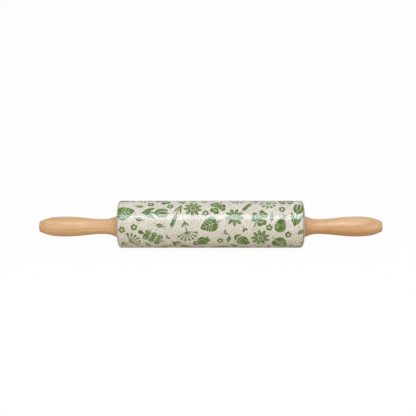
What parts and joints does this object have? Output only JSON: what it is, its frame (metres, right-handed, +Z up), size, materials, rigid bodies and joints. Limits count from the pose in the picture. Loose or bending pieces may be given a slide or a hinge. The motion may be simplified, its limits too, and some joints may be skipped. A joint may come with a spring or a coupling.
{
  "type": "rolling pin",
  "caption": "Stoneware rolling pin: a hollow glazed barrel with a printed plant pattern, turning on a steel spindle between two turned beech handles.",
  "frame": {"origin": "middle of the barrel, on the line the barrel turns about, which is also the middle of the whole part's box", "axes": "+X along the pin towards the right handle, +Z up when the pin lies on a table, +Y away from the viewer"},
  "size_m": [0.4578, 0.063, 0.063],
  "materials": {
    "glaze": "gloss",
    "beech": "satin",
    "steel": "satin",
    "brass": "satin",
    "nylon": "satin"
  },
  "bodies": {
    "axle": {"spindle": "steel", "left_bush": "nylon", "right_bush": "nylon", "left_retaining_ring": "steel", "right_retaining_ring": "steel", "left_insert": "brass", "right_insert": "brass", "left_handle": "beech", "right_handle": "beech"},
    "barrel": {"barrel": "glaze"},
    "left_washer": {"left_washer": "nylon"},
    "right_washer": {"right_washer": "nylon"}
  },
  "joints": [
    {"name": "barrel_spin", "type": "hinge", "parent": "axle", "child": "barrel", "pos_m": [0, 0, 0], "axis": [1, 0, 0], "continuous": true},
    {"name": "left_washer_spin", "type": "hinge", "parent": "axle", "child": "left_washer", "pos_m": [-0.1233, 0, -0.0034], "axis": [1, 0, 0], "continuous": true},
    {"name": "right_washer_spin", "type": "hinge", "parent": "axle", "child": "right_washer", "pos_m": [0.1233, 0, -0.0034], "axis": [1, 0, 0], "continuous": true}
  ]
}
